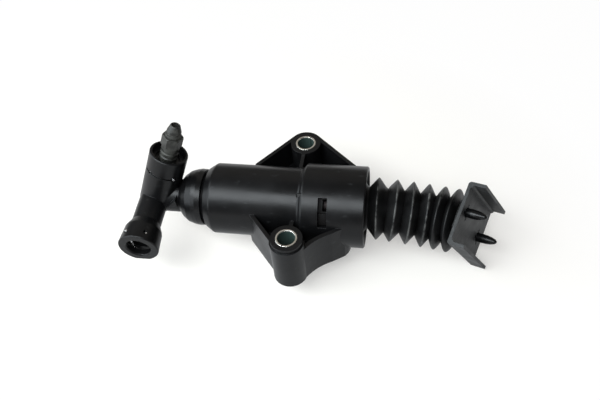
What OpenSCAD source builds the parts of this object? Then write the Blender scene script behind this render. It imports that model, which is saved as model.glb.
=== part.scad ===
// Hydraulic clutch slave cylinder with a plastic body, a rubber boot and a channel foot.
// All lengths are in millimetres. X runs along the bore towards the foot and Z along the
// two mounting bolts. The origin is on the bore axis, midway between the bolts.

/* [Mounting] */
// distance between the two bolt centres
bolt_spacing = 62; // [60:0.5:64]
// radius of the bolt hole through each steel bush
bolt_hole_r = 4.2; // [3.6:0.1:4.4]
// wall of the rolled steel bush
bush_wall = 0.85; // [0.7:0.05:1.1]
// radius of the round boss that carries a bush
boss_r = 8.2; // [7.6:0.1:8.8]
// height of the upper clamping face above the bore axis
ear_top = 11.3; // [10.5:0.1:12.5]
// depth of the lower clamping face below the bore axis
ear_bottom = 15.7; // [14.5:0.1:16.5]
// thickness of the wall round each ear
rim_wall = 1.9; // [1.5:0.1:2.6]
// depth of the pocket inside each ear
pocket_depth = 15; // [12:0.5:17]
// height of the near ear's straight wall above the bore axis
tall_wall = 7.7; // [6:0.1:9]
// height of the near ear's curved wall above the bore axis
low_wall = 6; // [5:0.1:6.8]

/* [Housing] */
// outer radius of the long rear part of the housing
rear_r = 17.6; // [17.2:0.1:18.2]
// outer radius of the collar
collar_r = 20; // [19.6:0.1:20.6]
// distance from the bolts to the mouth of the collar
mouth_x = 33.9; // [33:0.1:35]
// distance from the bolts to the rear end of the housing
rear_x = 44.8; // [44.2:0.1:45.2]
// width of the snap window in the collar
window_w = 4.2; // [3.6:0.1:4.8]
// angle at which the snap window starts, from the underside
window_start = 212; // [200:1:216]

/* [Pressure cylinder] */
// radius of the bore that the piston runs in
bore_r = 11.1; // [10.8:0.05:11.3]
// outer radius of the pressure cylinder
cylinder_r = 14.7; // [14.3:0.1:14.9]
// radius of the neck between the cylinder and the line manifold
neck_r = 8.4; // [7.8:0.1:9]

/* [Line manifold] */
// distance from the bolts back to the foot of the bleed barrel
junction_x = 72.3; // [72:0.1:73]
// distance from the line socket's axis to the barrel's, along the bore
socket_back = 1.7; // [1:0.1:2.4]
// lean of the bleed barrel towards the foot, in degrees
barrel_lean = 20.8; // [19:0.2:22]
// sideways lean of the bleed barrel, in degrees
barrel_side = 10.4; // [8:0.2:12]
// drop of the line socket below level, in degrees
socket_drop = 2.9; // [0:0.1:5]
// outer radius of the bleed barrel
barrel_r = 9.4; // [9.2:0.1:9.6]
// length of the bleed barrel above the junction
barrel_len = 27.8; // [27.2:0.1:28.5]
// outer radius of the line socket's collar at the mouth
socket_r = 9.9; // [9.6:0.1:10.2]
// outer radius of the line socket's tube
socket_tube_r = 7.2; // [6.8:0.1:7.4]
// length of the line socket from the bore axis
socket_len = 34; // [33.4:0.1:35]
// radius of the bore that seals on the hydraulic line
line_bore_r = 4; // [3.8:0.1:4.1]

/* [Bleed screw] */
// width across the flats of the bleed screw's hexagon
hex_af = 9; // [8.8:0.1:10]
// radius of the bleed screw's threaded shank
shank_r = 4.4; // [4.2:0.1:4.6]
// height of the nipple's tip above the junction
tip_len = 44.7; // [44:0.1:46]

/* [Boot] */
// radius over the boot's folds
fold_r = 15.2; // [14.4:0.1:15.6]
// radius at the bottom of the boot's folds
valley_r = 10.3; // [10:0.1:10.8]
// wall of the boot
boot_wall = 1.1; // [0.9:0.05:1.3]

/* [Pushrod] */
// distance between the centres of the rod's two ball ends
rod_len = 52.2; // [51:0.2:53]
// radius of the rod
rod_r = 3.6; // [3.2:0.1:4]
// downward droop of the rod out of the car, in degrees
rod_droop = 6.7; // [0:0.1:7.4]

/* [Foot] */
// length of the foot's channel, over both arms
foot_len = 31; // [30:0.2:33]
// width of the foot's plate along the arms
foot_width = 37.6; // [36:0.2:39]
// height of the arms from the back of the plate
arm_h = 8.3; // [7.5:0.1:9.5]
// thickness of the foot's sheet
sheet = 1.6; // [1.4:0.1:1.8]
// distance from each end of the foot's plate to the peg's axis
peg_edge = 6.6; // [6.2:0.1:7.2]
// yaw of the foot on its ball, in degrees
foot_yaw = -25.5; // [-26:0.5:-24]
// pitch of the foot on its ball, in degrees
foot_pitch = -12.1; // [-13:0.1:-11]
// roll of the foot about the rod, in degrees
foot_roll = 28.1; // [26:0.1:30]

/* [Hidden] */
$fn = 64;

run = 0.05;
press = 0.02;
half_pitch = bolt_spacing / 2;
bush_r = bolt_hole_r + bush_wall;
bush_proud = 0.2;
ear_h = ear_top + ear_bottom;
shelf_x = 6;
flange_r = 17.2;
flange_end = 9.4;
stop_r = 9.6;
neck_face = 60;
bore_end = 45.5;
spigot_r = 5.2;
spigot_len = 7.6;
stem_r = stop_r - 0.1;
ball_x = 27;
ball_r = 4.6;
toe_ball_r = 4.5;
toe_x = ball_x + rod_len * cos(rod_droop);
toe_z = -rod_len * sin(rod_droop);
plate_back = 5;
peg_r = 2.3;
peg_spacing = foot_width - 2 * peg_edge;
peg_skew = 2.35;
wire_r = 0.6;
clip_slot = 1.7;
barrel_leg = 5.75;
barrel_clip = 18;
socket_leg = line_bore_r + 0.8;
socket_clip = socket_len - 4.2;
socket_step = socket_len - 17.4;
entry_r = 5.9;

// places its children along the bore, drawn as profiles of [radius, x]
module turned() {
    rotate([0, 90, 0]) rotate_extrude() children();
}

// a plain ring about the bore axis from x0 to x1
module ring_x(x0, x1, ro, ri) {
    turned() polygon([[ri, x0], [ro, x0], [ro, x1], [ri, x1]]);
}

// a plain ring about Z from z0 to z1
module ring_z(z0, z1, ro, ri) {
    translate([0, 0, z0]) difference() {
        cylinder(h = z1 - z0, r = ro);
        translate([0, 0, -1]) cylinder(h = z1 - z0 + 2, r = ri);
    }
}

// the bleed barrel's own frame, its axis along local Z
module at_barrel() {
    translate([-junction_x, 0, 0]) rotate([-barrel_side, barrel_lean, 0]) children();
}

// the line socket's own frame, its axis along local Z and its mouth at the far end
module at_socket() {
    translate([-junction_x - socket_back, 0, 0]) rotate([90 + socket_drop, 0, 1.1]) children();
}

// the rod's frame: ball centre in the piston, rod along local X
module at_rod() {
    translate([ball_x, 0, 0]) rotate([0, rod_droop, 0]) children();
}

// the foot's frame: ball centre of the foot, plate's normal along local X
module at_foot() {
    translate([toe_x, 0, toe_z]) rotate([foot_roll, foot_pitch, foot_yaw]) children();
}

// point where the line from p touches a circle of radius r round c, on side s
function touch(p, c, r, s) =
    let(d = norm(p - c), a = atan2(p[1] - c[1], p[0] - c[0]) + s * acos(r / d))
    [c[0] + r * cos(a), c[1] + r * sin(a)];

boss_c = [0, half_pitch];
sweep_c = [31.8, half_pitch + 16.6];
sweep_r = 28;

// plan of the far ear, two straight walls that run into the boss
module far_plan(inset) {
    r = boss_r - inset;
    a = [-23.1 + 1.3 * inset, 14.3];
    b = [27.2 - 1.3 * inset, 17];
    polygon([[a[0], 0], a, touch(a, boss_c, r, -1), boss_c, touch(b, boss_c, r, 1), b, [b[0], 0]]);
}

// plan of the near ear, seen mirrored: one straight wall and one that sweeps in to the boss
module near_plan(inset) {
    r = boss_r - 2 - inset;
    top = half_pitch + 2.2 - inset;
    a = [-22.9 + 1.3 * inset, 13.5];
    b = [16.5 - 0.5 * inset, half_pitch - 6.5 - 0.8 * inset];
    c = [25 - 0.6 * inset, half_pitch - 12.4 - 0.8 * inset];
    d = [26.5 - 0.9 * inset, half_pitch - 14.6 - 0.4 * inset];
    e = [27.2 - inset, 13.9 - 0.2 * inset];
    difference() {
        polygon([[a[0], 0], a, touch(a, boss_c, r, -1), [0, top], [b[0], top], b, c, d, e, [e[0], 0]]);
        translate(sweep_c) circle(r = sweep_r + inset);
    }
}

module ear_plan(far, inset) {
    if (far) far_plan(inset);
    else near_plan(inset);
}

// one webbed ear, drawn on the far side: skirt, wall, pockets, rib and round boss
module ear(far) {
    difference() {
        union() {
            translate([0, 0, -ear_bottom]) linear_extrude(height = ear_h) ear_plan(far, 0);
            translate([0, half_pitch, -ear_bottom]) cylinder(h = ear_h, r = boss_r);
        }
        for (z = [ear_top - pocket_depth, ear_top - pocket_depth - 2.2 - ear_h])
            translate([0, 0, z]) linear_extrude(height = ear_h) difference() {
                ear_plan(far, rim_wall);
                translate(boss_c) circle(r = boss_r - 0.6);
                translate([-0.9, 0]) square([1.8, half_pitch]);
            }
        if (!far) difference() {
            union() {
                translate([-40, 0, tall_wall]) cube([40, 50, 20]);
                translate([-1, 0, low_wall]) cube([40, 50, 20]);
            }
            translate([0, half_pitch, 0]) cylinder(h = 40, r = boss_r);
        }
        if (!far) translate([0, half_pitch, 0]) ring_z(ear_top - 2.2, ear_top + 1, boss_r + 1, boss_r - 0.7);
    }
}

module mount_housing() {
    color([0.13, 0.13, 0.14]) difference() {
        union() {
            turned() polygon([[cylinder_r + run - 1, -rear_x], [cylinder_r + 0.4, -rear_x],
                [rear_r - 0.3, -rear_x + 3.2], [rear_r, -rear_x + 3.9], [rear_r, 1.8], [rear_r + 0.4, 2.7],
                [collar_r - 0.5, 3.6], [collar_r, 4.5], [collar_r, mouth_x - 0.5], [collar_r - 0.5, mouth_x],
                [cylinder_r + run - 1, mouth_x]]);
            ear(true);
            mirror([0, 1, 0]) ear(false);
        }
        ring_x(-rear_x - 1, mouth_x + 1, cylinder_r + run, 0);
        ring_x(shelf_x, mouth_x + 1, flange_r + run, 0);
        turned() polygon([[0, mouth_x - 1.2], [flange_r + run, mouth_x - 1.2], [flange_r + 0.9, mouth_x + 0.1],
            [0, mouth_x + 0.1]]);
        for (s = [-1, 1])
            translate([0, s * half_pitch, -ear_bottom - 1]) cylinder(h = ear_h + 2, r = bush_r - press);
        for (a = [0, 180])
            translate([14.4 - window_w / 2, 0, 0]) rotate([a, 0, 0]) rotate([0, 90, 0])
                rotate_extrude(angle = 42, start = window_start) translate([15, 0]) square([8, window_w]);
        rotate([29, 0, 0]) translate([1.6, -0.9, rear_r - 0.4]) cube([2.4, 1.8, 4]);
    }
}

module bush(seam) {
    color([0.78, 0.77, 0.72]) difference() {
        ring_z(-ear_bottom - bush_proud, ear_top + bush_proud, bush_r, bolt_hole_r);
        rotate([0, 0, seam]) translate([0, -0.2, -ear_bottom - 2]) cube([bush_r + 1, 0.4, ear_h + 4]);
    }
}

module bush_near() {
    translate([0, -half_pitch, 0]) bush(255);
}

module bush_far() {
    translate([0, half_pitch, 0]) bush(62);
}

// dome-ended cylinder with an open flange at the front and a socket for the manifold's spigot
module pressure_cylinder() {
    color([0.11, 0.11, 0.12]) difference() {
        turned() polygon([[bore_r, flange_end], [flange_r, flange_end], [flange_r, shelf_x],
            [cylinder_r, shelf_x], [cylinder_r, -rear_x + 0.2], [cylinder_r - 1.7, -rear_x - 0.2],
            [cylinder_r - 1.7, -rear_x - 1.7], [cylinder_r - 0.6, -rear_x - 2],
            [cylinder_r - 0.4, -rear_x - 4.6], [cylinder_r - 0.75, -rear_x - 6.7],
            [cylinder_r - 1.7, -rear_x - 9.8], [cylinder_r - 3.6, -rear_x - 12.4],
            [cylinder_r - 5.4, -rear_x - 13.9], [neck_r, -rear_x - 14.5], [neck_r, -neck_face],
            [spigot_r + run, -neck_face], [spigot_r + run, -neck_face + spigot_len + 0.4],
            [2.5, -neck_face + spigot_len + 0.4], [2.5, -bore_end - 4], [bore_r - 4, -bore_end - 3],
            [bore_r, -bore_end]]);
        at_barrel() cylinder(h = 30, r = barrel_r + 0.3);
    }
}

// snapped-in front sleeve that stops the piston, with two lugs that catch in the windows
module guide_sleeve() {
    color([0.16, 0.16, 0.17]) difference() {
        union() {
            turned() polygon([[stop_r, flange_end], [flange_r, flange_end], [flange_r, 27.4],
                [stop_r + 4.4, 27.4], [stop_r + 4.4, 14], [stop_r, 12.6]]);
            for (a = [0, 180])
                translate([12.6, 0, 0]) rotate([a, 0, 0]) rotate([0, 90, 0])
                    rotate_extrude(angle = 18, start = window_start + 22) translate([16, 0])
                        square([2.4, window_w - 0.6]);
        }
        for (a = [0, 180])
            translate([14.2, 0, 0]) rotate([a, 0, 0]) rotate([0, 90, 0])
                rotate_extrude(angle = 19, start = window_start + 0.5) translate([13, 0]) square([6, 3]);
    }
}

// cuts through a port's wall for the two straight legs and the bow of a wire clip
module clip_slots(s, r, leg) {
    for (k = [-1, 1])
        translate([k * leg - clip_slot / 2, -r - 1, s - clip_slot / 2])
            cube([clip_slot, 2 * r + 2, clip_slot]);
    translate([-leg, leg, s - clip_slot / 2]) cube([2 * leg, r, clip_slot]);
}

// wire clip: a long and a shorter straight leg and the bow that joins them, drawn in the clip's plane
module wire_clip(s, leg, front, back) {
    for (k = [-1, 1])
        translate([k * leg, k < 0 ? 1.4 - front : -front, s]) rotate([-90, 0, 0])
            cylinder(h = back + front - (k < 0 ? 1.4 : 0), r = wire_r, $fn = 24);
    translate([0, back, s]) rotate_extrude(angle = 180) translate([leg, 0]) circle(r = wire_r, $fn = 24);
}

// branch piece: spigot and neck, leaning bleed barrel, level line socket with a flat-sided collar
module line_manifold() {
    color([0.12, 0.12, 0.13]) difference() {
        union() {
            at_barrel() rotate_extrude() polygon([[0, -5.4], [barrel_r - 3, -5.4], [barrel_r - 1, -4.6],
                [barrel_r, -2.8], [barrel_r, barrel_len - 0.4], [barrel_r - 0.4, barrel_len], [0, barrel_len]]);
            at_socket() rotate_extrude() polygon([[0, 0], [5.2, 0], [socket_tube_r, 2.8],
                [socket_tube_r, socket_len - 14.4], [socket_r - 1, socket_len - 10.6],
                [socket_r - 0.7, socket_len - 9.8],
                [socket_r, socket_len - 0.5], [socket_r - 0.4, socket_len], [0, socket_len]]);
            ring_x(-junction_x, -neck_face, neck_r, 0);
            ring_x(-neck_face - 1, -neck_face + spigot_len, spigot_r, 0);
            translate([0, -5, 0]) rotate([90, 0, 0]) linear_extrude(height = 4.2)
                polygon([[-neck_face - 5, 1.4], [-neck_face, 1.4], [-neck_face, 6.4]]);
        }
        at_barrel() rotate_extrude() polygon([[0, -1], [1.9, -1], [1.9, 8], [7, 8], [7, 19.6], [8.2, 19.6],
            [8.2, barrel_len + 1], [0, barrel_len + 1]]);
        at_barrel() clip_slots(barrel_clip, barrel_r, barrel_leg);
        at_barrel() translate([0, 0, barrel_clip - 0.4]) rotate_extrude(angle = 112, start = 206)
            translate([barrel_r - 0.7, 0]) square([2, 0.8]);
        at_socket() rotate_extrude() polygon([[0, -2], [2.2, -2], [2.2, socket_step - 1.6],
            [line_bore_r, socket_step - 1.6], [line_bore_r, socket_step], [line_bore_r + 0.9, socket_step],
            [line_bore_r + 0.9, socket_step + 2.2], [line_bore_r, socket_step + 2.2],
            [line_bore_r, socket_len - 7], [entry_r, socket_len - 7], [entry_r, socket_len - 0.6], [entry_r + 0.7, socket_len + 0.1],
            [entry_r + 0.7, socket_len + 1], [0, socket_len + 1]]);
        at_socket() rotate([0, 0, 180]) clip_slots(socket_clip, socket_r, socket_leg);
        at_socket() translate([-socket_r, -socket_r - 9, socket_len - 12]) cube([2 * socket_r, 10, socket_len]);
        ring_x(-junction_x - socket_back, -neck_face + spigot_len + 1, 2.4, 0);
        ring_x(-neck_face + 3, -neck_face + 5.2, spigot_r + 1, spigot_r - 1.3);
    }
}

module manifold_seal() {
    color([0.06, 0.06, 0.06]) turned() translate([spigot_r - 0.65, -neck_face + 4.1]) circle(r = 0.65);
}

module socket_seal() {
    color([0.06, 0.06, 0.06]) at_socket() translate([0, 0, socket_step + 1.1]) rotate_extrude()
        translate([line_bore_r + 0.05, 0]) circle(r = 0.85);
}

module line_clip() {
    color([0.75, 0.75, 0.76]) at_socket() rotate([0, 0, 180]) wire_clip(socket_clip, socket_leg, 8.9, 5.2);
}

module bleed_clip() {
    color([0.75, 0.75, 0.76]) at_barrel() wire_clip(barrel_clip, barrel_leg, 7.7, 5);
}

// plug in the barrel that carries the bleed screw, grooved for the clip and the seal
module bleed_insert() {
    color([0.08, 0.08, 0.08]) at_barrel() difference() {
        rotate_extrude() polygon([[1.4, 8.3], [5.9, 8.3], [6.95, 9.2], [6.95, 10.4], [5.6, 10.4], [5.6, 12.6],
            [6.95, 12.6], [6.95, 16.9], [5, 16.9], [5, 19.1], [6.95, 19.1], [6.95, 19.7], [8.1, 19.7],
            [8.1, 24.6], [6.2, 24.6], [6.2, 23.4], [shank_r + run, 23.4], [shank_r + run, 13], [3.2, 13],
            [1.4, 11.2]]);
    }
}

module insert_seal() {
    color([0.06, 0.06, 0.06]) at_barrel() translate([0, 0, 11.5]) rotate_extrude()
        translate([6.28, 0]) circle(r = 0.66);
}

// hollow bleed screw: seat, threaded shank, hexagon and barbed nipple
module bleed_screw() {
    hex_r = hex_af / 2 / cos(30);
    color([0.42, 0.43, 0.42]) at_barrel() difference() {
        union() {
            rotate_extrude() polygon([[0, 11.8], [1, 11.8], [2.6, 13], [shank_r, 13], [shank_r, 24],
                [shank_r - 0.5, 24.4], [shank_r, 24.9], [shank_r, 26.4], [shank_r - 0.5, 26.9], [shank_r, 27.4],
                [shank_r, 28.9], [shank_r - 0.5, 29.4], [shank_r, 29.9], [shank_r, 34], [0, 34]]);
            intersection() {
                translate([0, 0, 33]) rotate([0, 0, 12]) cylinder(h = 5.4, r = hex_r, $fn = 6);
                rotate_extrude() polygon([[0, 32], [hex_r + 1, 32], [hex_r + 1, 36.6], [hex_r - 0.8, 39], [0, 39]]);
            }
            rotate_extrude() polygon([[0, 38], [3.9, 38], [3.9, 39.4], [3.1, 39.9], [3.1, 40.7], [3.6, 41.2],
                [2.5, tip_len - 0.3], [2.2, tip_len], [0, tip_len]]);
        }
        rotate_extrude() polygon([[0, 14.4], [1.3, 14.4], [1.3, 41], [1.8, tip_len], [1.8, 50], [0, 50]]);
        translate([0, 0, 16.4]) rotate([90, 0, 0]) cylinder(h = 6, r = 0.8);
    }
}

// stepped piston: sealed head in the bore and a stem with the seat for the rod's ball
module piston() {
    color([0.32, 0.32, 0.33]) difference() {
        turned() polygon([[0, -9.6], [5.9, -9.6], [5.9, -4], [bore_r - 0.08, -4], [bore_r - 0.08, 1],
            [9.2, 1], [9.2, 3.6], [bore_r - 0.08, 3.6], [bore_r - 0.08, 8.4], [bore_r - 0.6, flange_end],
            [stem_r, flange_end], [stem_r, 29.8], [stem_r - 0.6, 30.4], [0, 30.4]]);
        translate([ball_x, 0, 0]) sphere(r = ball_r + run);
        ring_x(ball_x, ball_x + 2, ball_r + run, 0);
        ring_x(28.6, 31, 6, 0);
        ring_x(-10.6, 12, 3, 0);
    }
}

module primary_seal() {
    color([0.07, 0.07, 0.07]) turned() polygon([[5.95, -4.05], [bore_r - 0.1, -4.05], [bore_r - 0.03, -8.8],
        [bore_r - 1.4, -8.8], [bore_r - 1.8, -6.2], [7.8, -6.2], [7.4, -8.8], [5.95, -8.8]]);
}

module secondary_seal() {
    color([0.07, 0.07, 0.07]) turned() polygon([[9.25, 1.1], [bore_r - 0.03, 1.1], [bore_r - 0.03, 3.5],
        [9.25, 3.5]]);
}

module spring_seat() {
    color([0.7, 0.7, 0.72]) turned() polygon([[2.9, -10.6], [9.4, -10.6], [9.4, -9.6], [5.8, -9.6], [5.8, -9.65],
        [2.9, -9.65]]);
}

// the return spring, an open coil drawn as one swept round wire
module preload_spring() {
    x0 = -10.6;
    x1 = -bore_end;
    wire = 0.65;
    turns = 5.5;
    seg = 24;
    side = 8;
    n = turns * seg;
    pts = [for (i = [0:n]) let(a = i * 360 / seg, r = 8.1, x = x0 - wire + (x1 - x0 + 2 * wire) * i / n)
        for (j = [0:side - 1]) let(b = j * 360 / side, q = r + wire * cos(b))
            [x + wire * sin(b), q * cos(a), q * sin(a)]];
    quads = [for (i = [0:n - 1]) for (j = [0:side - 1])
        [i * side + j, (i + 1) * side + j, (i + 1) * side + (j + 1) % side, i * side + (j + 1) % side]];
    ends = [[for (j = [0:side - 1]) j], [for (j = [side - 1:-1:0]) n * side + j]];
    color([0.6, 0.6, 0.62]) polyhedron(points = pts, faces = concat(quads, ends), convexity = 10);
}

module rod_retainer() {
    color([0.62, 0.6, 0.52]) translate([ball_x, 0, 0]) turned() polygon([[ball_r + 0.15, 1.6],
        [6 + press, 1.6], [6 + press, 3.2], [3.8, 3.2]]);
}

module pushrod() {
    color([0.55, 0.55, 0.57]) at_rod() union() {
        sphere(r = ball_r);
        turned() polygon([[0, 0], [2.4, 0], [2.4, 5.5], [rod_r, 7.5], [rod_r, rod_len - 9], [2.3, rod_len - 6.5],
            [2.3, rod_len], [0, rod_len]]);
        translate([rod_len, 0, 0]) sphere(r = toe_ball_r);
    }
}

// centre, lean share and half width of each fold, from the mouth to the foot
boot_run = toe_x - mouth_x;
fold_x = [for (t = [0.109, 0.287, 0.4606, 0.6274, 0.7854, 0.9278]) mouth_x + t * boot_run];
fold_h = [for (t = [0.0934, 0.0912, 0.0868, 0.0823, 0.0779, 0.0756]) t * boot_run];

// how far the boot's centre line sags below the bore axis at x
function sag(x) = let(u = (x - mouth_x - 2.1) / (boot_run - 2.1)) -toe_z * (0.598 * u + 0.422 * u * u);

module fold(i) {
    share = i < 4 ? 0.03 * i : 0.5 + 0.15 * (i - 4);
    round_off = i < 3 ? 0.5 : 1.5;
    x = fold_x[i];
    h = fold_h[i];
    e = h + (i == 3 || i == 4 ? 0.038 : 0.011) * boot_run;
    r = fold_r + 0.1 * i;
    translate([x, 0, -sag(x)])
        rotate([0, rod_droop + share * (foot_pitch - rod_droop), share * foot_yaw]) turned()
            polygon([[valley_r, -e], [valley_r, -h + 0.4], [r - round_off, -0.6 - round_off / 2],
                [r, -0.5], [r, 0.5], [r - round_off, 0.6 + round_off / 2], [valley_r, h - 0.4],
                [valley_r, e], [valley_r - boot_wall, e], [valley_r - boot_wall, h - 0.7],
                [r - boot_wall - 1, 0], [valley_r - boot_wall, 0.7 - h], [valley_r - boot_wall, -e]]);
}

module boot() {
    color([0.08, 0.08, 0.09]) union() {
        turned() polygon([[12.6, 27.5], [17.2, 27.5], [17.2, 32.2], [16, 32.6], [valley_r + 1, 33.4],
            [valley_r + 0.3, 34.9], [valley_r - boot_wall, 34.9], [valley_r - boot_wall, 33.2], [12.6, 31]]);
        for (i = [0:5]) fold(i);
        at_foot() turned() polygon([[6.55, -2.6], [7.6, -2.6], [7.6, -1.6], [11.4, 0.4], [11.4, 1.6],
            [10.4, 1.6], [7.6, 1.8], [6.55, 1.8]]);
        at_foot() turned() polygon([[10, -3.4], [11.4, -3.4], [11.4, 1.6], [10, 1.6]]);
    }
}

// pressed steel channel: a plate with two arms, drawn with its back face at plate_back
module foot() {
    color([0.3, 0.3, 0.31]) at_foot() translate([plate_back, 0, 0]) difference() {
        union() {
            translate([0, -foot_len / 2 + 1.4, -foot_width / 2]) cube([sheet, foot_len - 2.8, foot_width]);
            for (s = [-1, 1]) mirror([0, s > 0 ? 0 : 1, 0]) {
                translate([1.4, foot_len / 2 - sheet, -foot_width / 2]) cube([arm_h - 1.4, sheet, foot_width]);
                translate([1.4, foot_len / 2 - 1.4, -foot_width / 2]) cylinder(h = foot_width, r = 1.4);
                translate([1.4, foot_len / 2 - 1.9, -foot_width / 2]) cube([0.5, 1.8, foot_width]);
            }
        }
        for (s = [-1, 1])
            translate([-1, s * peg_skew, s * peg_spacing / 2]) rotate([15, 0, 0]) {
                rotate([0, 90, 0]) cylinder(h = 5, r = peg_r + 0.2);
                translate([0, -3.8, -0.6]) cube([5, 7.6, 1.2]);
                translate([0, -0.6, -3.8]) cube([5, 1.2, 7.6]);
            }
    }
}

// moulded ball cup behind the plate, with two pegs pressed through its slotted holes
module foot_cup() {
    color([0.06, 0.06, 0.065]) at_foot() difference() {
        union() {
            turned() polygon([[0, -1.8], [6.5, -1.8], [6.5, 3.4], [8.6, 3.4], [8.6, plate_back],
                [0, plate_back]]);
            translate([3.6, -6.6, -peg_spacing / 2 - 4.2]) cube([plate_back - 3.6, 13.2, peg_spacing + 8.4]);
            for (s = [-1, 1])
                translate([0, s * peg_skew, s * peg_spacing / 2])
                    turned() polygon([[0, plate_back - 1], [peg_r - 0.1, plate_back - 1],
                        [peg_r - 0.1, plate_back + 2], [peg_r, plate_back + 4.2],
                        [peg_r - 0.1, plate_back + 6.4], [peg_r - 0.5, plate_back + 8.8],
                        [peg_r - 1.1, plate_back + 10.6], [0.5, plate_back + 11.4], [0, plate_back + 11.5]]);
        }
        sphere(r = toe_ball_r + run);
        turned() polygon([[0, -3], [4.9, -3], [4.15, -1.7], [4.25, -1.5], [0, -1.5]]);
    }
}

mount_housing();
bush_near();
bush_far();
pressure_cylinder();
guide_sleeve();
line_manifold();
manifold_seal();
socket_seal();
line_clip();
bleed_insert();
insert_seal();
bleed_clip();
bleed_screw();
piston();
primary_seal();
secondary_seal();
spring_seat();
preload_spring();
rod_retainer();
pushrod();
boot();
foot();
foot_cup();
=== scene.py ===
import math

import bpy
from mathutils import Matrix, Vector


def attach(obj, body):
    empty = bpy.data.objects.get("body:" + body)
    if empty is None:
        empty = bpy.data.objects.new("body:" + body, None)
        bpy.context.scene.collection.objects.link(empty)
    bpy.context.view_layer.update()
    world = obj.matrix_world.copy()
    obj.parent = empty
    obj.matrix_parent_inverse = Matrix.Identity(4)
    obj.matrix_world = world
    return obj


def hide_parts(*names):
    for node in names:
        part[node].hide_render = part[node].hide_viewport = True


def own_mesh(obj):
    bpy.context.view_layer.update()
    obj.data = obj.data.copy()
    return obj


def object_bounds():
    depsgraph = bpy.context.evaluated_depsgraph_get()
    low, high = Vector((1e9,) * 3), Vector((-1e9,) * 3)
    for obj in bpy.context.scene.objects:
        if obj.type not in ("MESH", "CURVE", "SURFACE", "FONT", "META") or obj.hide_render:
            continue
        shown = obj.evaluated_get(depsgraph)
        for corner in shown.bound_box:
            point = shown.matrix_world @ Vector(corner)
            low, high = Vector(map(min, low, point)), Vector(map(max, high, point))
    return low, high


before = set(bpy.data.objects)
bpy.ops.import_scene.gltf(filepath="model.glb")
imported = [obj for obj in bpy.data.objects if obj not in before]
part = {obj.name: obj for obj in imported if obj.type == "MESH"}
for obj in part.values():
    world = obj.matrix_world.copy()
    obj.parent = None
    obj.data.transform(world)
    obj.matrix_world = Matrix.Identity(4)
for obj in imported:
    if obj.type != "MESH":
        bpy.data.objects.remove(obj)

cad_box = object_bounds()
bpy.ops.object.select_all(action="DESELECT")


# Housing: the long outer body with its collar and two webbed ears. It is injection moulded in
# black glass-filled nylon, so its skin is satin, faintly grained and a little cloudy.

def shader_node(finish, kind, **values):
    made = finish.node_tree.nodes.new(kind)
    for label, value in values.items():
        made.inputs[label.replace("_", " ")].default_value = value
    return made


def join(finish, source, target):
    finish.node_tree.links.new(source, target)


def skin(finish):
    return finish.node_tree.nodes["Principled BSDF"]


def new_finish(name, colour, rough, metallic=0.0, specular=0.5):
    finish = bpy.data.materials.new(name)
    finish.use_nodes = True
    skin(finish).inputs["Base Color"].default_value = (*colour, 1)
    skin(finish).inputs["Roughness"].default_value = rough
    skin(finish).inputs["Metallic"].default_value = metallic
    skin(finish).inputs["Specular IOR Level"].default_value = specular
    return finish


def on_piece(finish, stretch=(1, 1, 1)):
    where = shader_node(finish, "ShaderNodeTexCoord")
    fit = shader_node(finish, "ShaderNodeMapping", Scale=stretch)
    join(finish, where.outputs["Object"], fit.inputs["Vector"])
    return fit.outputs["Vector"]


def clouds(finish, where, scale, detail=3.0):
    cloud = shader_node(finish, "ShaderNodeTexNoise", Scale=scale, Detail=detail)
    join(finish, where, cloud.inputs["Vector"])
    return cloud.outputs["Fac"]


def between(finish, value, low, high, to_low=0.0, to_high=1.0):
    ramp = shader_node(finish, "ShaderNodeMapRange", From_Min=low, From_Max=high, To_Min=to_low, To_Max=to_high)
    join(finish, value, ramp.inputs["Value"])
    return ramp.outputs["Result"]


def reckon(finish, operation, *values):
    sum_node = finish.node_tree.nodes.new("ShaderNodeMath")
    sum_node.operation = operation
    for socket, value in zip(sum_node.inputs, values):
        if isinstance(value, (int, float)):
            socket.default_value = value
        else:
            join(finish, value, socket)
    return sum_node.outputs[0]


def place_of(finish):
    split = shader_node(finish, "ShaderNodeSeparateXYZ")
    join(finish, on_piece(finish), split.inputs["Vector"])
    return split.outputs["X"], split.outputs["Y"], split.outputs["Z"]


def tint(finish, share, dark, light):
    mix = finish.node_tree.nodes.new("ShaderNodeMix")
    mix.data_type = "RGBA"
    for socket, colour in ((6, dark), (7, light)):
        if isinstance(colour, tuple):
            mix.inputs[socket].default_value = (*colour, 1)
        else:
            join(finish, colour, mix.inputs[socket])
    join(finish, share, mix.inputs[0])
    return mix.outputs[2]


def soften_edges(finish, radius):
    edge = shader_node(finish, "ShaderNodeBevel", Radius=radius)
    edge.samples = 6
    join(finish, edge.outputs["Normal"], skin(finish).inputs["Normal"])


def relief(finish, value, height):
    bump = shader_node(finish, "ShaderNodeBump", Distance=height)
    join(finish, value, bump.inputs["Height"])
    for link in list(skin(finish).inputs["Normal"].links):
        join(finish, link.from_socket, bump.inputs["Normal"])
    join(finish, bump.outputs["Normal"], skin(finish).inputs["Normal"])


def moulded(name, dark, light, rough, edge, grain=2600, grain_height=0.000015, specular=0.5):
    finish = new_finish(name, dark, rough[0], specular=specular)
    where = on_piece(finish)
    patches = between(finish, clouds(finish, where, 70), 0.35, 0.65)
    join(finish, tint(finish, patches, dark, light), skin(finish).inputs["Base Color"])
    join(finish, between(finish, patches, 0, 1, *rough), skin(finish).inputs["Roughness"])
    soften_edges(finish, edge)
    relief(finish, clouds(finish, where, grain, 2), grain_height)
    return finish


def wear(node, finish):
    part[node].data.materials.clear()
    part[node].data.materials.append(finish)


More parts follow.
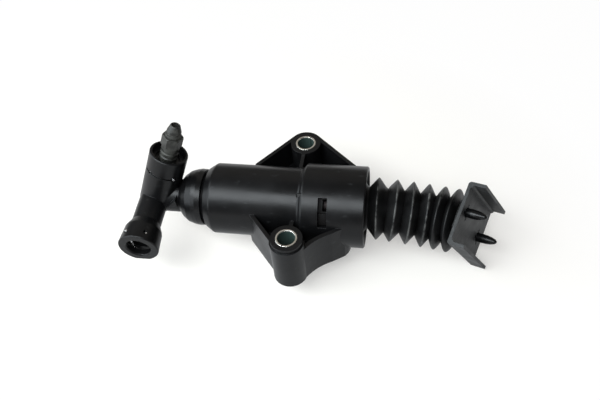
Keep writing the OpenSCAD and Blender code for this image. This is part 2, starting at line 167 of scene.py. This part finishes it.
nylon = moulded("black_nylon", (0.0032, 0.0032, 0.0034), (0.0048, 0.0048, 0.0052), (0.29, 0.37), 0.00035, specular=0.26)
relief(nylon, between(nylon, clouds(nylon, on_piece(nylon, (1, 3, 3)), 45, 2), 0.3, 0.7), 0.00004)
scuffs = between(nylon, clouds(nylon, on_piece(nylon, (1, 2, 2)), 190, 5), 0.64, 0.7)
nylon_colour = skin(nylon).inputs["Base Color"].links[0].from_socket
join(nylon, tint(nylon, scuffs, nylon_colour, (0.013, 0.0135, 0.014)), skin(nylon).inputs["Base Color"])
wear("mount_housing", nylon)


# Pressure cylinder: the domed inner cylinder, moulded in the same black nylon and pushed into
# the housing. The groove behind its dome is painted dark as shade by turning its reflection down.

GROOVE_MIDDLE = -0.0457
GROOVE_HALF = 0.00085

dome_nylon = moulded("dome_nylon", (0.0032, 0.0032, 0.0034), (0.0048, 0.0048, 0.0052), (0.27, 0.35), 0.00035, specular=0.26)
# Painted shade: the band of the groove loses nearly all its reflection, so it looks dark.
from_groove = reckon(dome_nylon, "ABSOLUTE", reckon(dome_nylon, "SUBTRACT", place_of(dome_nylon)[0], GROOVE_MIDDLE))
join(dome_nylon, between(dome_nylon, from_groove, GROOVE_HALF, GROOVE_HALF + 0.0002, 0.02, 0.26),
     skin(dome_nylon).inputs["Specular IOR Level"])
wear("pressure_cylinder", dome_nylon)


# Branch piece: the elbow with the bleed barrel and the line socket, moulded in the same nylon as
# the housing and spigoted into the cylinder's neck.

wear("line_manifold", nylon)


# Guide sleeve: the ring snapped into the collar, of a plainer dark nylon, darkened and dulled as
# painted shade. Only the lug that catches in the collar's window and the front edge can be seen.

# Painted shade: this nylon is darker and duller than the housing's, for the lug in the window's shadow.
shaded_sleeve_nylon = moulded("shaded_sleeve_nylon", (0.003, 0.0026, 0.0026), (0.0045, 0.004, 0.004), (0.5, 0.6), 0.0002, specular=0.15)
wear("guide_sleeve", shaded_sleeve_nylon)


# Bushes: zinc-plated steel sheet rolled into a split tube and pressed into each ear. The cut
# ring ends stay bright, while the bore is painted a dull green-grey as painted shade.

BUSH_MIDDLE = -0.0022
BUSH_HALF = 0.0135
zinc = new_finish("zinc_plate", (0.7, 0.68, 0.6), 0.25, metallic=1.0)
zinc_reach = reckon(zinc, "ABSOLUTE", reckon(zinc, "SUBTRACT", place_of(zinc)[2], BUSH_MIDDLE))
plated_end_else_bore_shade = between(zinc, zinc_reach, BUSH_HALF - 0.0004, BUSH_HALF)
zinc_patches = between(zinc, clouds(zinc, on_piece(zinc), 420), 0.35, 0.65)
zinc_plate = tint(zinc, zinc_patches, (0.7, 0.68, 0.6), (0.93, 0.92, 0.89))
# Painted shade: away from the cut ends the bore is coloured a dull, rough green-grey.
join(zinc, tint(zinc, plated_end_else_bore_shade, (0.026, 0.05, 0.043), zinc_plate), skin(zinc).inputs["Base Color"])
join(zinc, between(zinc, plated_end_else_bore_shade, 0, 1, 0.7, 0.24), skin(zinc).inputs["Roughness"])
join(zinc, between(zinc, plated_end_else_bore_shade, 0, 1, 0.1, 1.0), skin(zinc).inputs["Metallic"])
soften_edges(zinc, 0.00045)
relief(zinc, clouds(zinc, on_piece(zinc), 1500), 0.00001)
wear("bush_near", zinc)
wear("bush_far", zinc)


# Wire clips: bright spring wire bent to a long U. One holds the bleed insert in its barrel and
# one holds the fluid line in its socket, and only the cut wire ends show.

clip_wire = new_finish("clip_wire", (0.8, 0.8, 0.8), 0.18, metallic=1.0)
clip_marks = clouds(clip_wire, on_piece(clip_wire, (1, 1, 6)), 900)
join(clip_wire, tint(clip_wire, clip_marks, (0.7, 0.7, 0.71), (0.95, 0.95, 0.95)), skin(clip_wire).inputs["Base Color"])
soften_edges(clip_wire, 0.0004)
relief(clip_wire, clip_marks, 0.000008)
wear("line_clip", clip_wire)
wear("bleed_clip", clip_wire)


# Bleed insert: the plug that the bleed screw is threaded into, turned from black acetal. It
# sits just below the barrel's mouth.

acetal = moulded("black_acetal", (0.0025, 0.0025, 0.0028), (0.004, 0.004, 0.0044), (0.26, 0.34), 0.00015, grain=2000, specular=0.3)
wear("bleed_insert", acetal)


# Bleed screw: a hollow steel screw with a hexagon and a barbed nipple, passivated to a dark
# blotchy grey. Its edges are slightly rounded.

passivated = new_finish("passivated_steel", (0.03, 0.03, 0.03), 0.45, metallic=0.3)
passivated_place = on_piece(passivated)
passivated_spots = between(passivated, clouds(passivated, passivated_place, 330, 5), 0.38, 0.66)
join(passivated, tint(passivated, passivated_spots, (0.018, 0.018, 0.016), (0.06, 0.06, 0.053)),
     skin(passivated).inputs["Base Color"])
join(passivated, between(passivated, passivated_spots, 0, 1, 0.38, 0.6), skin(passivated).inputs["Roughness"])
soften_edges(passivated, 0.0002)
relief(passivated, clouds(passivated, passivated_place, 1700, 4), 0.00003)
wear("bleed_screw", passivated)


# Seals: moulded rubber rings and lips inside the bores. They are nearly hidden, and black with
# a fine dull grain.

seal_rubber = moulded("seal_rubber", (0.003, 0.003, 0.003), (0.005, 0.005, 0.005), (0.45, 0.55), 0.0001, grain=2200, specular=0.25)
wear("manifold_seal", seal_rubber)
wear("socket_seal", seal_rubber)
wear("insert_seal", seal_rubber)
wear("primary_seal", seal_rubber)
wear("secondary_seal", seal_rubber)


# Piston and rod: the anodised aluminium piston, the clip of natural acetal in its stem and the
# phosphated steel rod that the clip holds by its rear ball.

def turned_metal(name, dark, light, rough, metallic=1.0):
    finish = new_finish(name, dark, rough[0], metallic=metallic)
    lathe = clouds(finish, on_piece(finish, (12, 1, 1)), 300, 4)
    join(finish, tint(finish, between(finish, lathe, 0.35, 0.65), dark, light), skin(finish).inputs["Base Color"])
    join(finish, between(finish, lathe, 0.3, 0.7, *rough), skin(finish).inputs["Roughness"])
    soften_edges(finish, 0.00015)
    relief(finish, lathe, 0.00001)
    return finish


anodised = turned_metal("anodised_alloy", (0.022, 0.018, 0.018), (0.04, 0.034, 0.034), (0.3, 0.4))
natural = moulded("natural_acetal", (0.5, 0.47, 0.38), (0.6, 0.57, 0.48), (0.4, 0.5), 0.0001, grain=1800)
phosphated = turned_metal("phosphated_rod", (0.16, 0.16, 0.165), (0.3, 0.3, 0.3), (0.35, 0.5))
wear("piston", anodised)
wear("rod_retainer", natural)
wear("pushrod", phosphated)


# Return spring: an open coil of oiled spring wire between the bore's end and the steel seat on
# the piston. The real spring closes up as the piston goes in; this coil is fixed at one length.

COIL_R = 0.0081
WIRE_R = 0.00065
COIL_TURNS = 5.5
COIL_START = -0.0106 - WIRE_R
COIL_END = -0.0455 + WIRE_R

spring_steel = turned_metal("spring_steel", (0.28, 0.28, 0.28), (0.45, 0.45, 0.45), (0.25, 0.35))
wear("spring_seat", spring_steel)
bpy.ops.mesh.primitive_circle_add(vertices=14, radius=WIRE_R, location=(COIL_START, COIL_R, 0))
spring = bpy.context.object
spring.name = "coil_spring"
bpy.ops.object.transform_apply(location=True, rotation=True, scale=True)
winding = spring.modifiers.new("winding", "SCREW")
winding.axis = "X"
winding.angle = COIL_TURNS * 2 * math.pi
winding.screw_offset = COIL_END - COIL_START
winding.steps = winding.render_steps = 180
bpy.ops.object.modifier_apply(modifier="winding")
bpy.ops.object.mode_set(mode="EDIT")
bpy.ops.mesh.select_all(action="SELECT")
bpy.ops.mesh.fill_holes(sides=20)
bpy.ops.mesh.normals_make_consistent(inside=False)
bpy.ops.object.mode_set(mode="OBJECT")
bpy.ops.object.shade_smooth_by_angle(angle=math.radians(50))
spring.data.materials.append(spring_steel)
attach(spring, "body")
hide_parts("preload_spring")
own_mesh(spring)
bpy.ops.object.select_all(action="DESELECT")


# Boot: a bellows of six folds moulded in black rubber, with a bead behind the collar's mouth and
# a cuff on the foot's cup. It sags under its own weight and its far end is turned to the foot's
# angle, so that the last two folds lean.

BEAD_START = 0.0275
MOUTH = 0.0342
VALLEY_R = 0.0103
CREST_R = 0.0152
FOLD_X = (0.0392, 0.0468, 0.0546, 0.0621, 0.0692, 0.0756)
FOLD_HALF = (0.0042, 0.0041, 0.0038, 0.00365, 0.0034, 0.0032)
FOLD_LEAN = (0, 0.03, 0.06, 0.12, 0.5, 0.68)
FOLD_EDGE = (0.06, 0.06, 0.08, 0.12, 0.26, 0.32)
ROD_DROOP = math.radians(6.7)
FOOT_PITCH = math.radians(-12.1)
FOOT_YAW = math.radians(-25.5)
FOOT_BALL = Vector((0.078844, 0, -0.00609))
FOOT_AXIS = Vector((0.88253, -0.42095, 0.20962))
BOOT_WALL = 0.0009
STATIONS = (-0.84, -0.66, -0.48, -0.32, -0.18, -0.1, -0.04, 0, 0.04, 0.1, 0.18, 0.32, 0.48, 0.66, 0.84)


def sag(x):
    past = max(x - 0.036, 0)
    return 0.085 * past + 1.4 * past * past


def fold_radius(share, edge, crest):
    run = (math.hypot(share, edge) - edge) / (math.hypot(1, edge) - edge)
    return crest - (crest - VALLEY_R) * run


def boot_rings():
    rings = [(Vector((BEAD_START, 0, 0)), r, 0) for r in (0.0127, 0.0165)]
    rings += [(Vector((x, 0, 0)), r, 0) for x, r in
              ((0.0281, 0.0171), (0.0318, 0.0171), (0.0325, 0.0162), (0.0331, 0.0120), (MOUTH, 0.0106))]
    for number, (x, half, lean, edge) in enumerate(zip(FOLD_X, FOLD_HALF, FOLD_LEAN, FOLD_EDGE)):
        crest = CREST_R + 0.0001 * number
        if rings[-1][0].x > MOUTH:
            middle = (rings[-1][0].x + x - half * 0.84) / 2
            rings.append((Vector((middle, 0, -sag(middle))), VALLEY_R, (rings[-1][2] + lean) / 2))
        for share in STATIONS:
            at = x + share * half
            rings.append((Vector((at, 0, -sag(at))), fold_radius(share, edge, crest), lean))
    for along, r in ((-0.0006, 0.0104), (0.0004, 0.0112), (0.0016, 0.0112), (0.002, 0.0104), (0.002, 0.0078),
                     (0.0018, 0.0067), (-0.0004, 0.0067)):
        rings.append((FOOT_BALL + along * FOOT_AXIS, r, 1))
    return rings


def lean_angles(lean):
    return ROD_DROOP * (1 - lean) + FOOT_PITCH * lean, FOOT_YAW * lean


rings = boot_rings()
bpy.ops.mesh.primitive_circle_add(vertices=120, radius=rings[0][1], rotation=(0, math.pi / 2, 0))
boot = bpy.context.object
boot.name = "bellows"
bpy.ops.object.transform_apply(location=True, rotation=True, scale=True)
bpy.ops.object.mode_set(mode="EDIT")
bpy.ops.mesh.select_all(action="SELECT")
bpy.ops.transform.translate(value=rings[0][0])
for (before, before_r, before_lean), (centre, radius, lean) in zip(rings, rings[1:]):
    bpy.ops.mesh.extrude_region_move(TRANSFORM_OT_translate={"value": centre - before})
    if radius != before_r:
        bpy.ops.transform.resize(value=(radius / before_r,) * 3, center_override=centre)
    if lean != before_lean:
        pitch, yaw = lean_angles(lean)
        old_pitch, old_yaw = lean_angles(before_lean)
        if not before_lean:
            old_pitch = 0
        bpy.ops.transform.rotate(value=old_pitch - pitch, orient_axis="Y", center_override=centre)
        bpy.ops.transform.rotate(value=old_yaw - yaw, orient_axis="Z", center_override=centre)
bpy.ops.mesh.select_all(action="SELECT")
bpy.ops.mesh.normals_make_consistent(inside=False)
bpy.ops.object.mode_set(mode="OBJECT")
wall = boot.modifiers.new("wall", "SOLIDIFY")
wall.thickness = BOOT_WALL
wall.offset = -1
bpy.ops.object.modifier_apply(modifier="wall")
bpy.ops.object.shade_smooth_by_angle(angle=math.radians(35))

boot_rubber = new_finish("boot_rubber", (0.003, 0.003, 0.003), 0.42, specular=0.3)
boot_place = on_piece(boot_rubber)
boot_patches = between(boot_rubber, clouds(boot_rubber, boot_place, 130, 4), 0.35, 0.65)
boot_x, boot_y, boot_z = place_of(boot_rubber)
hang = reckon(boot_rubber, "MAXIMUM", reckon(boot_rubber, "SUBTRACT", boot_x, 0.036), 0)
drop = reckon(boot_rubber, "MULTIPLY", hang, reckon(boot_rubber, "MULTIPLY_ADD", hang, 1.4, 0.085))
boot_reach = reckon(boot_rubber, "SQRT", reckon(boot_rubber, "MULTIPLY_ADD", boot_y, boot_y, reckon(
    boot_rubber, "POWER", reckon(boot_rubber, "ADD", boot_z, drop), 2)))
crest_reach = reckon(boot_rubber, "SUBTRACT", boot_reach, reckon(boot_rubber, "MULTIPLY", hang, 0.0125))
# The crests are painted lighter in broken streaks: partly dust, partly a painted highlight along their edges.
crest_dust_and_highlight = reckon(boot_rubber, "MULTIPLY", between(boot_rubber, crest_reach, CREST_R - 0.0005, CREST_R - 0.0001),
                    between(boot_rubber, clouds(boot_rubber, boot_place, 260, 5), 0.38, 0.6))
boot_colour = tint(boot_rubber, boot_patches, (0.0032, 0.0032, 0.0033), (0.006, 0.006, 0.0061))
join(boot_rubber, tint(boot_rubber, crest_dust_and_highlight, boot_colour, (0.095, 0.095, 0.09)), skin(boot_rubber).inputs["Base Color"])
join(boot_rubber, between(boot_rubber, boot_patches, 0, 1, 0.36, 0.5), skin(boot_rubber).inputs["Roughness"])
relief(boot_rubber, clouds(boot_rubber, boot_place, 2400, 2), 0.00002)
boot.data.materials.append(boot_rubber)
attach(boot, "body")
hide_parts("boot")
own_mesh(boot)
bpy.ops.object.select_all(action="DESELECT")


# Foot: a channel of pressed steel with a thin dark phosphate coat. The coat is mottled and
# streaked, and lighter around the middle of the plate than further out.

phosphate = new_finish("phosphate_coat", (0.02, 0.02, 0.02), 0.5, specular=0.35)
phosphate_place = on_piece(phosphate)
mottle = between(phosphate, clouds(phosphate, phosphate_place, 150, 6), 0.36, 0.64)
streaks = between(phosphate, clouds(phosphate, on_piece(phosphate, (1, 1, 7)), 160, 3), 0.55, 0.75)
plate_middle = FOOT_BALL + 0.006 * FOOT_AXIS
plate_offsets = [reckon(phosphate, "POWER", reckon(phosphate, "SUBTRACT", along, middle), 2)
                 for along, middle in zip(place_of(phosphate), plate_middle)]
from_middle = reckon(phosphate, "SQRT", reckon(phosphate, "ADD", reckon(
    phosphate, "ADD", plate_offsets[0], plate_offsets[1]), plate_offsets[2]))
# The coat is lighter within a few millimetres of the plate's middle and darker further out.
lighter_at_plate_middle = between(phosphate, from_middle, 0.004, 0.0125, 1, 0)
coat = tint(phosphate, lighter_at_plate_middle, (0.016, 0.017, 0.017), (0.046, 0.047, 0.047))
coat = tint(phosphate, reckon(phosphate, "MULTIPLY", mottle, 0.35), coat, (0.075, 0.076, 0.076))
join(phosphate, tint(phosphate, streaks, coat, (0.07, 0.071, 0.071)), skin(phosphate).inputs["Base Color"])
join(phosphate, between(phosphate, mottle, 0, 1, 0.42, 0.6), skin(phosphate).inputs["Roughness"])
soften_edges(phosphate, 0.0003)
relief(phosphate, clouds(phosphate, phosphate_place, 2200, 4), 0.00003)
wear("foot", phosphate)


# Foot cup: the black acetal moulding behind the foot, with the rod's ball snapped in and two
# pegs pressed through the slotted holes in the plate.

wear("foot_cup", acetal)


# Table: the pale card that the part lies on for the photograph. To the camera it is nearly
# white, and it keeps the part's soft shadow. Its glow is painted light that grows away from the part.

bpy.ops.mesh.primitive_plane_add(size=6, location=(0, 0, cad_box[0][2] - 0.0005))
table = bpy.context.object
table.name = "table"
bpy.ops.object.transform_apply(location=True, rotation=True, scale=True)
card = new_finish("white_card", (0.95, 0.95, 0.95), 0.85, specular=0.1)
card_glow = shader_node(card, "ShaderNodeEmission", Color=(1, 1, 1, 1), Strength=1)
card_seen = shader_node(card, "ShaderNodeMixShader")
ray = shader_node(card, "ShaderNodeLightPath")
seen_at_all = reckon(card, "MAXIMUM", ray.outputs["Is Camera Ray"], reckon(
    card, "MAXIMUM", ray.outputs["Is Glossy Ray"], ray.outputs["Is Transmission Ray"]))
card_x, card_y, card_z = place_of(card)
from_part = reckon(card, "SQRT", reckon(card, "MULTIPLY_ADD", card_x, card_x, reckon(card, "POWER", card_y, 2)))
# Painted light: the card glows faintly around the part and more strongly further out, so the far card is white.
painted_glow_away_from_part = between(card, from_part, 0.09, 0.17, 0.36, 0.95)
join(card, reckon(card, "MULTIPLY", seen_at_all, painted_glow_away_from_part), card_seen.inputs[0])
join(card, skin(card).outputs[0], card_seen.inputs[1])
join(card, card_glow.outputs[0], card_seen.inputs[2])
join(card, card_seen.outputs[0], card.node_tree.nodes["Material Output"].inputs["Surface"])
join(card, tint(card, ray.outputs["Is Camera Ray"], (0.5, 0.5, 0.5), (0.98, 0.93, 0.86)), skin(card).inputs["Base Color"])
table.data.materials.append(card)


# Lamps: a wide soft box over the front edge of the table, which draws the long band of light on
# the housing, a window on the left, and an even dim room.

def soft_box(name, place, size, power, colour):
    bpy.ops.object.light_add(type="AREA", location=place)
    lamp = bpy.context.object
    lamp.name = name
    lamp.data.shape = "RECTANGLE"
    lamp.data.size, lamp.data.size_y = size
    lamp.data.energy = power
    lamp.data.color = colour
    lamp.rotation_euler = (-Vector(place)).to_track_quat("-Z", "Y").to_euler()


soft_box("over", (-0.16, -0.32, 0.53), (0.72, 0.28), 5.3, (0.9, 0.96, 1.0))
soft_box("window", (-0.60, -0.22, 0.34), (0.9, 0.7), 6.0, (0.86, 0.94, 1.0))
soft_box("back_wall", (0.0, 0.75, 0.70), (1.6, 0.8), 1.0, (1.0, 0.93, 0.84))

room = bpy.context.scene.world or bpy.data.worlds.new("room")
bpy.context.scene.world = room
room.use_nodes = True
room.node_tree.nodes["Background"].inputs["Color"].default_value = (1, 0.96, 0.9, 1)
room.node_tree.nodes["Background"].inputs["Strength"].default_value = 0.14


# Camera: it stands where the photograph was taken from, above and a little right of the middle.

bpy.ops.object.camera_add(location=(0.0514, -0.2094, 0.24603))
camera = bpy.context.object
camera.name = "photo_camera"
camera.rotation_euler = [math.radians(a) for a in (41.2875, 4.2958, 8.6528)]
camera.data.sensor_width = 36
camera.data.lens = 39.55
camera.data.clip_start = 0.01
bpy.context.scene.camera = camera
bpy.context.scene.view_settings.view_transform = "Standard"
